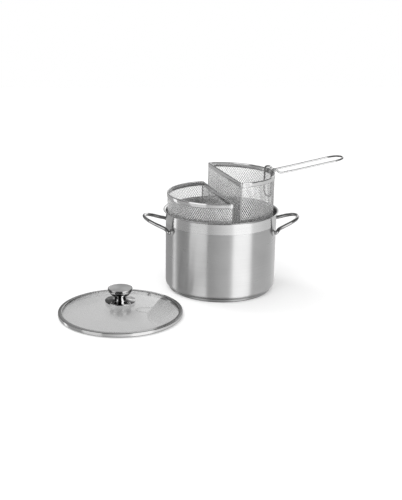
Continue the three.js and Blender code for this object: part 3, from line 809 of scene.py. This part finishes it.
def build_side_handles():
    path = side_loop_path()
    ends = [abs(2 * i / (len(path) - 1) - 1) for i in range(len(path))]
    radii = [SIDE_ROD * (SIDE_TIP_SHARE + (SIDE_ROOT_SHARE - SIDE_TIP_SHARE) * end) for end in ends]
    for side, turn, back_sign in (("right", 0.0, 1), ("left", pi, -1)):
        loop = rod(f"side_loop_{side}", path, radii, STEEL_ROD, Matrix.Rotation(turn, 4, "Z"))
        finish_piece(loop, "pot", f"side_handle_{side}")
        for end, sign in (("back", back_sign), ("front", -back_sign)):
            bearing = turn + sign * SIDE_FOOT_ANGLE
            build_pad(f"side_pad_{side}_{end}", f"side_handle_{side}_foot_{end}", bearing)


# Lid

ring_low, ring_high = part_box("lid_ring")
LID_CENTRE = (ring_low + ring_high) / 2
LID_RADIUS = (ring_high.x - ring_low.x) / 2
LID_PLACE = Matrix.Translation((LID_CENTRE.x, LID_CENTRE.y, 0))
RING_INNER = LID_RADIUS - RING_WIDTH
GLASS_RADIUS = RING_INNER + GLASS_GRIP
SPHERE = (GLASS_RADIUS ** 2 + DOME_RISE ** 2) / (2 * DOME_RISE)
GLASS_EDGE_Z = RING_HEIGHT - SKIRT_SHEET - SEAT_GAP
BORE_RADIUS = SCREW_RADIUS + SEAT_GAP
VENT_OUTER = VENT_RADIUS + EYELET_WALL
VENT_SHIFT = Vector((cos(VENT_BEARING), sin(VENT_BEARING), 0)) * (RING_INNER - VENT_INSET)
VENT_PLACE = LID_PLACE @ Matrix.Translation(VENT_SHIFT)


def glass_top(radius):
    return GLASS_EDGE_Z + DOME_RISE - (SPHERE - sqrt(SPHERE ** 2 - radius ** 2))


def cut(piece, cutter):
    """Cuts one solid out of another and applies the result."""
    modifier = piece.modifiers.new("cut", "BOOLEAN")
    modifier.operation = "DIFFERENCE"
    modifier.solver = "EXACT"
    modifier.object = cutter
    graph = bpy.context.evaluated_depsgraph_get()
    result = bpy.data.meshes.new_from_object(piece.evaluated_get(graph))
    piece.modifiers.remove(modifier)
    piece.data = result
    bpy.data.objects.remove(cutter)
    result.shade_smooth()
    result.set_sharp_from_angle(angle=CREASE)


def build_glass():
    """A dome of even thickness with a round edge, a bore for the screw and the steam hole."""
    top = []
    for i in range(GLASS_STEPS + 1):
        radius = BORE_RADIUS + (GLASS_RADIUS - BORE_RADIUS) * i / GLASS_STEPS
        top.append((radius, glass_top(radius)))
    bottom = [(r, z - GLASS_THICKNESS) for r, z in top]
    half = GLASS_THICKNESS / 2
    edge_r, edge_z = top[-1]
    rim = arc(edge_r - half, edge_z - half, half, -70, 70, 6)
    dome = turned("lid_glass_dome", [*bottom[:-1], *rim, *reversed(top[:-1])], [GLASS], LID_PLACE)
    hole = VENT_OUTER + SEAT_GAP
    tall = 2 * (DOME_RISE + GLASS_THICKNESS)
    section = [(0, 0), (hole, 0), (hole, tall), (0, tall)]
    cut(dome, turned("vent_cutter", section, [GLASS], VENT_PLACE, SMALL_SIDES))
    finish_piece(dome, "lid", "lid_glass")


def build_ring():
    """Rolled steel rim: it grips the glass, has a rounded edge and a skirt for the pot's mouth."""
    skirt_r = POT_BORE - SKIRT_CLEARANCE
    groove_r = GLASS_RADIUS + SEAT_GAP
    glass_low = GLASS_EDGE_Z - GLASS_THICKNESS - SEAT_GAP
    over_glass = glass_top(RING_INNER) - GLASS_EDGE_Z
    lip_low = SKIRT_HEIGHT - RING_LIP
    outline = filleted([
        (skirt_r - SKIRT_SHEET, 0, RING_EDGE),
        (skirt_r, 0, RING_EDGE),
        (skirt_r, SKIRT_HEIGHT, RING_EDGE / 2),
        (LID_RADIUS - RING_EDGE * 2, lip_low, RING_EDGE * 2),
        (LID_RADIUS + RING_LIP, lip_low, RING_EDGE * 4),
        (LID_RADIUS + RING_LIP * RING_LIP_TOP_SHARE, RING_HEIGHT, RING_TOP_BEND),
        (RING_INNER, RING_HEIGHT + over_glass, RING_EDGE),
        (RING_INNER, glass_top(RING_INNER) + SEAT_GAP / 3, 0),
        (groove_r, GLASS_EDGE_Z + SEAT_GAP, 0),
        (groove_r, glass_low, 0),
        (skirt_r - SKIRT_SHEET, glass_low, 0),
    ])
    rim = turned("lid_steel_rim", outline, [STEEL_RING], LID_PLACE)
    finish_piece(rim, "lid", "lid_ring")


def build_vent():
    """Steam vent: a tube with a rolled lip above the glass."""
    low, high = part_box("vent_eyelet")
    lip_z = high.z - EYELET_LIP_THICKNESS
    outline = filleted([
        (VENT_RADIUS, low.z, EYELET_EDGE),
        (VENT_OUTER, low.z, EYELET_EDGE),
        (VENT_OUTER, lip_z, 0),
        (VENT_OUTER + EYELET_LIP, lip_z, EYELET_EDGE),
        (VENT_OUTER + EYELET_LIP * EYELET_LIP_TOP_SHARE, high.z, EYELET_EDGE * 2),
        (VENT_RADIUS, high.z, EYELET_MOUTH),
    ])
    vent = turned("steam_vent", outline, [STEEL_POLISHED], VENT_PLACE, SMALL_SIDES)
    finish_piece(vent, "lid", "vent_eyelet")


def build_knob():
    """Turned knob: a flange on the glass, a stem that opens into a bowl, and a dished cap disc."""
    low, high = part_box("knob_flange")
    flange_r = (high.x - low.x) / 2
    flange = filleted([
        (BORE_RADIUS, low.z, 0),
        (flange_r, low.z, FLANGE_EDGE),
        (flange_r, low.z + FLANGE_SIDE, FLANGE_EDGE),
        ((flange_r + KNOB_SEAT) / 2, low.z + FLANGE_RISE, FLANGE_BEND),
        (KNOB_SEAT, high.z, FLANGE_EDGE),
        (BORE_RADIUS, high.z, 0),
    ])
    plate = turned("knob_plate", flange, [STEEL_TRIM], LID_PLACE)
    finish_piece(plate, "lid", "knob_flange")

    low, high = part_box("knob_body")
    height = high.z - low.z
    pairs = zip(KNOB_HEIGHT_SHARES, KNOB_BODY_RADII)
    stations = [(radius * MM, 0, low.z + up * height) for up, radius in pairs]
    profile = [
        (0, low.z + height / 2),
        (BORE_RADIUS, low.z + height / 2),
        (BORE_RADIUS, low.z),
        *[(p.x, p.z) for p in spline_through(stations, KNOB_BODY_STEPS)],
        (0, high.z),
    ]
    body = turned("knob_stem", profile, [STEEL_TRIM], LID_PLACE)
    finish_piece(body, "lid", "knob_body")

    low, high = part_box("knob_top")
    cap_r = (high.x - low.x) / 2
    dish_start, dish_end = [cap_r * share for share in KNOB_DISH_SHARES]
    cap = filleted([
        (0, low.z, 0),
        (cap_r, low.z, KNOB_LOW_BEND),
        (cap_r, high.z, KNOB_HIGH_BEND),
        (dish_start, high.z, KNOB_DISH_BEND),
        (dish_end, high.z - KNOB_DISH, KNOB_DISH_BEND),
        (0, high.z - KNOB_DISH, 0),
    ], closed=False)

    def slot_at(r0, z0, r1, z1):
        return 0 if max(r0, r1) < cap_r * KNOB_FACE_SHARE and z0 > low.z + KNOB_DISH else 1

    disc = turned("knob_cap", cap, [STEEL_KNOB, STEEL_TRIM], LID_PLACE, slot_at=slot_at)
    finish_piece(disc, "lid", "knob_top")


def build_lid_hardware():
    """Under the glass: gasket above, then washer and a slotted screw."""
    recolour("knob_gasket", RUBBER)
    recolour("knob_washer", STEEL_POLISHED)
    low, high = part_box("knob_screw")
    head_r = (high.x - low.x) / 2
    head_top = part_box("knob_washer")[0].z - SEAT_GAP
    profile = filleted([
        (0, low.z, 0),
        (head_r, low.z, SCREW_HEAD_BEND),
        (head_r, head_top, SCREW_EDGE),
        (SCREW_RADIUS, head_top, 0),
        (SCREW_RADIUS, high.z, SCREW_TIP_BEND),
        (0, high.z, 0),
    ], closed=False)
    screw = turned("knob_fixing_screw", profile, [STEEL_POLISHED], LID_PLACE, SMALL_SIDES)
    half_length = head_r * SLOT_REACH_SHARE
    half_width = SLOT_WIDTH / 2
    levels = (low.z - SLOT_DEPTH, low.z + SLOT_DEPTH)
    corners = [(x * half_length, y * half_width, z) for z in levels for x, y in SQUARE]
    slot = add_piece("screw_slot", corners, tube_faces(2, 4), [STEEL_POLISHED], LID_PLACE)
    bpy.context.view_layer.update()
    cut(screw, slot)
    finish_piece(screw, "lid", "knob_screw")


# Baskets

CORNER_Y = sqrt((ARC_RADIUS - CORNER_RADIUS) ** 2 - (CORNER_RADIUS - ARC_CENTRE) ** 2)
ARC_END = atan2(CORNER_Y, CORNER_RADIUS - ARC_CENTRE)
# The outline's bends, each with its centre, its radius and the angles it runs between
BENDS = (
    ((CORNER_RADIUS, -CORNER_Y), CORNER_RADIUS, -pi, -ARC_END),
    ((ARC_CENTRE, 0), ARC_RADIUS, -ARC_END, ARC_END),
    ((CORNER_RADIUS, CORNER_Y), CORNER_RADIUS, ARC_END, pi),
)


def basket_frame(side):
    """A basket's height and the matrix of its own frame."""
    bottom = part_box(f"basket_{side}_base_band")[0].z
    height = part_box(f"basket_{side}_rim_band")[1].z - bottom
    turn = BASKET_TURNS[side]
    offset = BASKET_OFFSETS[side]
    shift = Matrix.Translation((offset * cos(turn), offset * sin(turn), bottom))
    return height, shift @ Matrix.Rotation(turn, 4, "Z")


def arc_stations(centre, radius, start, end, steps):
    """Points of an arc, each with its outward direction."""
    stations = []
    for i in range(steps + 1):
        angle = start + (end - start) * i / steps
        out = Vector((cos(angle), sin(angle)))
        stations.append((Vector(centre) + out * radius, out))
    return stations


def inset_point(station, inset, z):
    """A point at a height, so far inside the basket's outline."""
    anchor, out = station
    return (*(anchor - out * inset), z)


def outline_stations():
    """The basket's outline from one end of the flat side round to the other."""
    stations = []
    for bend, steps in zip(BENDS, HEM_BEND_STEPS):
        part = arc_stations(*bend, steps)
        stations += part[1:] if stations else part
    return stations


def hem(name, edge_z, fold_z, place):
    """A strip folded over the mesh all round: a flattened oval, whose sides bulge a little."""
    middle = HEM_THICKNESS / 2
    half_height = (fold_z - edge_z) / 2
    centre = (fold_z + edge_z) / 2
    section = []
    for i in range(HEM_STEPS):
        angle = 2 * pi * i / HEM_STEPS
        up = copysign(abs(sin(angle)) ** HEM_SQUARE_UP, sin(angle))
        across = copysign(abs(cos(angle)) ** HEM_SQUARE_ACROSS, cos(angle))
        section.append((middle - middle * across, centre + half_height * up))
    stations = outline_stations()
    points = [inset_point(station, inset, z) for station in stations for inset, z in section]
    faces = tube_faces(len(stations), HEM_STEPS, loop=True)
    return add_piece(name, points, faces, [STEEL_HEM], place)


def wall_path(flat):
    """The length of a wall's mesh, and its points by the distance along it and the depth."""
    if flat:
        return 2 * CORNER_Y, lambda distance, depth: (MESH_INSET - depth, CORNER_Y - distance)
    lengths = [(radius - MESH_INSET) * (end - start) for centre, radius, start, end in BENDS]

    def at(distance, depth):
        bend = 0
        while bend < 2 and distance > lengths[bend]:
            distance -= lengths[bend]
            bend += 1
        (x, y), radius, start, end = BENDS[bend]
        angle = start + distance / (radius - MESH_INSET)
        reach = radius - MESH_INSET + depth
        return (x + reach * cos(angle), y + reach * sin(angle))

    return sum(lengths), at


def diamond_net(columns, rows, keep=None):
    """An expanded mesh as points of (across, up, depth) in cells, with faces. Each diamond has
    eight faces in front and behind, from the ridges of its strands, which neighbours share, to
    its hole. Strands are twisted a little, as in real sheet."""
    half_diagonal = hypot(CELL_WIDTH, CELL_HEIGHT) / 2
    to_edge = CELL_WIDTH * CELL_HEIGHT / 4 / half_diagonal
    hole_share = 1 - STRAND / 2 / to_edge
    around = ((0, 2), (1, 1), (2, 0), (1, -1), (0, -2), (-1, -1), (-2, 0), (-1, 1))
    ridge = STRAND_THICKNESS / 2
    edge = STRAND_THICKNESS / 4
    points = []
    shared = {}
    faces = []

    def ridge_point(u, v, depth):
        key = (u, v, depth > 0)
        if key not in shared:
            shared[key] = len(points)
            points.append((u / 4, v / 4, depth))
        return shared[key]

    centres = [(4 * i + 2, 4 * j + 2) for i in range(columns) for j in range(rows)]
    centres += [(4 * i, 4 * j) for i in range(1, columns) for j in range(1, rows)]
    for u, v in centres:
        if keep and not keep(u / 4, v / 4):
            continue
        rings = []
        for side in (1, -1):
            outer = [ridge_point(u + du, v + dv, side * ridge) for du, dv in around]
            inner = []
            for du, dv in around:
                share = hole_share * (HOLE_SIDE_SHARE if du * dv else HOLE_POINT_SHARE)
                depth = side * edge + STRAND_TWIST * du / 2
                inner.append(len(points))
                points.append(((u + du * share) / 4, (v + dv * share) / 4, depth))
            rings.append((outer, inner))
        (front, front_hole), (behind, behind_hole) = rings
        for k in range(8):
            after = (k + 1) % 8
            faces.append((front[k], front[after], front_hole[after], front_hole[k]))
            faces.append((behind[after], behind[k], behind_hole[k], behind_hole[after]))
            faces.append((front_hole[k], front_hole[after], behind_hole[after], behind_hole[k]))
    return points, faces


def net_wall(name, flat, height, place):
    """A wall's mesh, whose edges lie inside the two hems."""
    length, at = wall_path(flat)
    net_height = height - 2 * MESH_MARGIN
    columns = round(length / CELL_WIDTH)
    rows = round(net_height / CELL_HEIGHT)
    net, faces = diamond_net(columns, rows)
    points = [
        (*at(across * (length / columns), depth), MESH_MARGIN + up * (net_height / rows))
        for across, up, depth in net
    ]
    return add_piece(name, points, faces, [STEEL_MESH], place)


def net_floor(name, place):
    """The floor's mesh ends under the base hem all round."""
    columns = round(2 * ARC_RADIUS / CELL_WIDTH)
    rows = round(ARC_RADIUS / CELL_HEIGHT)
    half_cell = CELL_HEIGHT / 2

    def to_plan(across, up):
        x = up * CELL_HEIGHT + MESH_INSET - half_cell
        y = across * CELL_WIDTH - columns * CELL_WIDTH / 2
        return x, y

    def keep(across, up):
        x, y = to_plan(across, up)
        from_centre = hypot(abs(x - ARC_CENTRE) + half_cell / 2, abs(y) + half_cell / 2)
        return from_centre < ARC_RADIUS - MESH_INSET and x > half_cell and abs(y) < CORNER_Y

    net, faces = diamond_net(columns, rows, keep)
    points = [(*to_plan(across, up), MESH_FLOOR_LIFT + depth) for across, up, depth in net]
    return add_piece(name, points, faces, [STEEL_MESH], place)


def corner_strip(name, sign, height, place):
    """A narrow strip folded round the corner, pressed down in a row of weld spots."""
    centre = (CORNER_RADIUS, sign * CORNER_Y)
    middle_angle = sign * (ARC_END + pi) / 2
    half_angle = STRIP_WIDTH / 2 / CORNER_RADIUS
    start, end = middle_angle - half_angle, middle_angle + half_angle
    stations = arc_stations(centre, CORNER_RADIUS, start, end, STRIP_STEPS)
    low = BASE_HEIGHT - STRIP_OVERLAP
    high = height - RIM_HEIGHT + STRIP_OVERLAP
    points = []
    for level in range(STRIP_LEVELS + 1):
        z = low + (high - low) * level / STRIP_LEVELS
        spot = max(0.0, cos(2 * pi * (z - low) / CELL_HEIGHT)) ** STRIP_SPOT_POWER
        for k, station in enumerate(stations):
            press = STRIP_PRESS * spot * sin(pi * k / STRIP_STEPS)
            points.append(inset_point(station, STRIP_OUTER + press, z))
        points += [inset_point(station, STRIP_INNER, z) for station in reversed(stations)]
    faces = tube_faces(STRIP_LEVELS + 1, 2 * len(stations))
    return add_piece(name, points, faces, [STEEL_STRIP], place)


def rivet_profile():
    """A rivet's head: a rolled brim round a dished middle."""
    brim = RIVET_RADIUS * RIVET_BRIM_SHARE
    dish_edge, dish_middle = [RIVET_RISE * share for share in RIVET_DISH_SHARES]
    return [
        (0, 0),
        (RIVET_RADIUS, 0),
        *[(r, z * RIVET_RISE / brim) for r, z in arc(RIVET_RADIUS - brim, 0, brim, 0, 160, 8)],
        (RIVET_RADIUS - RIVET_DISH_BRIMS * brim, dish_edge),
        (0, dish_middle),
    ]


def build_rivets(side, height, place, body):
    reach = ARC_RADIUS - RIVET_SINK
    z = height - RIM_HEIGHT / 2
    for end, sign in (("a", 1), ("b", -1)):
        for i in (1, 2):
            angle = sign * (ARC_END - i * RIVET_SPACING / ARC_RADIUS)
            x = ARC_CENTRE + reach * cos(angle)
            seat = Matrix.Translation((x, reach * sin(angle), z))
            turn = Matrix.Rotation(angle, 4, "Z") @ Matrix.Rotation(pi / 2, 4, "Y")
            name = f"rivet_head_{side}_{end}{i}"
            where = place @ seat @ turn
            rivet = turned(name, rivet_profile(), [STEEL_POLISHED], where, RIVET_SIDES)
            finish_piece(rivet, body, f"basket_{side}_rivet_{end}{i}")


def build_basket(side):
    body = f"{side}_basket"
    node = f"basket_{side}"
    height, place = basket_frame(side)
    hems = {"rim": (height - RIM_HEIGHT, height), "base": (BASE_HEIGHT, 0)}
    for part, (edge_z, fold_z) in hems.items():
        band = hem(f"{part}_hem_{side}", edge_z, fold_z, place)
        finish_piece(band, body, f"{node}_{part}_band")
    for part, flat in (("round", False), ("flat", True)):
        net = net_wall(f"{part}_mesh_{side}", flat, height, place)
        finish_piece(net, body, f"{node}_{part}_wall")
    bottom = net_floor(f"floor_mesh_{side}", place)
    finish_piece(bottom, body, f"{node}_floor")
    for end, sign in (("a", 1), ("b", -1)):
        strip = corner_strip(f"corner_strip_{side}_{end}", sign, height, place)
        finish_piece(strip, body, f"{node}_corner_{end}")
    build_rivets(side, height, place, body)


# Detachable handle, in the right basket's frame

def handle_path(height):
    """One bent wire: a U with two legs inside the basket, over the rim, and a long loop outside."""
    hook_half = HOOK_WIDTH / 2
    rim_x = ARC_CENTRE + sqrt(ARC_RADIUS ** 2 - hook_half ** 2)
    leg_x = rim_x - HEM_THICKNESS - HOOK_GAP - WIRE
    clip_inner = rim_x - HEM_THICKNESS / 2
    over_z = height + CLIP_THICKNESS + WIRE + 2 * SEAT_GAP
    over_x = clip_inner + CLIP_WIDTH + WIRE / 2
    clear_x = over_x + WIRE + GRIP_DROP
    basket_reach = ARC_RADIUS + ARC_CENTRE
    slope = tan(GRIP_RISE)
    tip_x = basket_reach + GRIP_LENGTH * cos(GRIP_RISE) - WIRE
    grip_half = GRIP_WIDTH / 2 - WIRE
    bend_share = 1 - sqrt(0.5)
    tip_bend = bend_share * grip_half
    hook_bend = bend_share * HOOK_CORNER
    hook_z = height - HOOK_DEPTH

    def on_grip(x, y, ease=0):
        return (x, y, height - GRIP_DROP + (x - basket_reach) * slope + ease)

    half = [
        (leg_x, WIRE, hook_z),
        (leg_x, hook_half - HOOK_CORNER, hook_z),
        (leg_x, hook_half - hook_bend, hook_z + hook_bend),
        (leg_x, hook_half, hook_z + HOOK_CORNER),
        (leg_x, hook_half, height - RIM_HEIGHT),
        (leg_x, hook_half, height),
        ((leg_x + rim_x) / 2, hook_half, over_z),
        (over_x, hook_half, over_z),
        on_grip(clear_x, hook_half, GRIP_EASE),
        on_grip(clear_x + grip_half, (hook_half + grip_half) / 2),
        on_grip(tip_x - 2 * grip_half, grip_half),
        on_grip(tip_x - grip_half, grip_half),
        on_grip(tip_x - tip_bend, grip_half - tip_bend),
    ]
    other = [(x, -y, z) for x, y, z in reversed(half)]
    path = spline_through([*half, on_grip(tip_x, 0), *other], WIRE_STEPS)
    return path, clip_inner


def build_handle():
    """The wire, with painted shade in its hook and at its tip, and the flat bar that lies on the rim.
    """
    height, place = basket_frame("right")
    path, clip_inner = handle_path(height)
    wire = rod("handle_wire_loop", path, [WIRE] * len(path), STEEL_WIRE, place)
    # Painted shade: the hook and the tip take the darker copy of the wire's steel
    wire.data.materials.append(STEEL_WIRE_PAINTED_SHADE)
    tip_x = max(point.x for point in path)
    for i, polygon in enumerate(wire.data.polygons):
        along = path[min(i // ROD_SIDES, len(path) - 1)].x
        if along < clip_inner + CLIP_WIDTH or along > tip_x - TIP_BEND_LENGTH:
            polygon.material_index = 1
    finish_piece(wire, "basket_handle", "basket_handle_wire")

    half = CLIP_LENGTH / 2
    corner = CLIP_WIDTH * CLIP_CORNER_SHARE
    plan = rounded_rectangle(clip_inner, clip_inner + CLIP_WIDTH, -half, half, corner)
    middle_x = clip_inner + CLIP_WIDTH / 2
    top = CLIP_THICKNESS
    layers = ((CLIP_BEVEL, 0.0), (0.0, CLIP_BEVEL), (0.0, top - CLIP_BEVEL), (CLIP_BEVEL, top))
    points = []
    for inset, up in layers:
        across = 1 - inset / (CLIP_WIDTH / 2)
        along = 1 - inset / half
        for x, y in plan:
            points.append((middle_x + (x - middle_x) * across, y * along, height + SEAT_GAP + up))
    faces = tube_faces(len(layers), len(plan))
    clip = add_piece("handle_clip_bar", points, faces, [STEEL_POLISHED], place)
    finish_piece(clip, "basket_handle", "basket_handle_clip")


# Studio

def build_floor():
    half = FLOOR_SIZE / 2
    corners = [(x * half, y * half, -FLOOR_DROP) for x, y in SQUARE]
    floor = add_piece("studio_floor", corners, [(0, 1, 2, 3)], [pale_floor("pale_floor")])
    floor.visible_glossy = False


def blend(tree, factor, low, high):
    inputs = {0: factor, 6: low, 7: high}
    return add_node(tree, "ShaderNodeMix", inputs, data_type="RGBA").outputs[2]


def rise(tree, height, span, low, high):
    """Goes from one colour to another between the two heights of a span."""
    inputs = {0: height, 1: span[0], 2: span[1]}
    step = add_node(tree, "ShaderNodeMapRange", inputs, interpolation_type="SMOOTHSTEP")
    return blend(tree, step.outputs[0], low, high)


def build_world():
    """A studio of soft boxes and dark flags that changes with the compass angle and, in zones,
    from below the table to overhead. Brushed metal shows it as upright streaks, and the camera
    sees plain white."""
    world = bpy.data.worlds.new("studio")
    scene.world = world
    world.use_nodes = True
    tree = world.node_tree
    way = add_node(tree, "ShaderNodeTexCoord").outputs["Generated"]
    height = add_node(tree, "ShaderNodeSeparateXYZ", {0: way}).outputs[2]
    turn = compass_turn(tree, way)
    studio = grey(UNDER)
    for span, bands in ZONES:
        studio = rise(tree, height, span, studio, compass_ramp(tree, turn, bands))
    studio = rise(tree, height, ZENITH_SPAN, studio, grey(ZENITH))
    tint = blend(tree, seen_directly(tree), studio, grey(1.0))
    set_inputs(tree, tree.nodes["Background"], {"Color": tint, "Strength": 1.0})


def build_lamp(name, source, width, level):
    """A soft box far away in one direction. It lights the floor and the mesh, and is left out of
    reflections, where the metal shows the studio instead."""
    data = bpy.data.lights.new(name, "SUN")
    data.angle = radians(width)
    data.energy = level * pi
    lamp = bpy.data.objects.new(name, data)
    lamp.rotation_euler = Vector(source).to_track_quat("Z", "Y").to_euler()
    lamp.visible_glossy = False
    lamp.visible_transmission = False
    lamp.visible_camera = False
    scene.collection.objects.link(lamp)


def build_camera():
    data = bpy.data.cameras.new("camera")
    data.lens = CAMERA_LENS
    data.shift_x = CAMERA_SHIFT
    camera = bpy.data.objects.new("camera", data)
    camera.location = CAMERA_PLACE
    camera.rotation_euler = (CAMERA_PITCH, 0, 0)
    scene.collection.objects.link(camera)
    scene.camera = camera


scene.view_settings.view_transform = "Standard"
# The fine mesh stays visible where the denoiser takes its guides as they are
scene.cycles.denoising_prefilter = "NONE"
build_camera()
build_world()
for lamp_name, (source, width, level) in LAMPS.items():
    build_lamp(lamp_name, source, width, level)
build_floor()
build_shell()
build_base()
build_side_handles()
build_glass()
build_ring()
build_vent()
build_knob()
build_lid_hardware()
for basket_side in ("left", "right"):
    build_basket(basket_side)
build_handle()
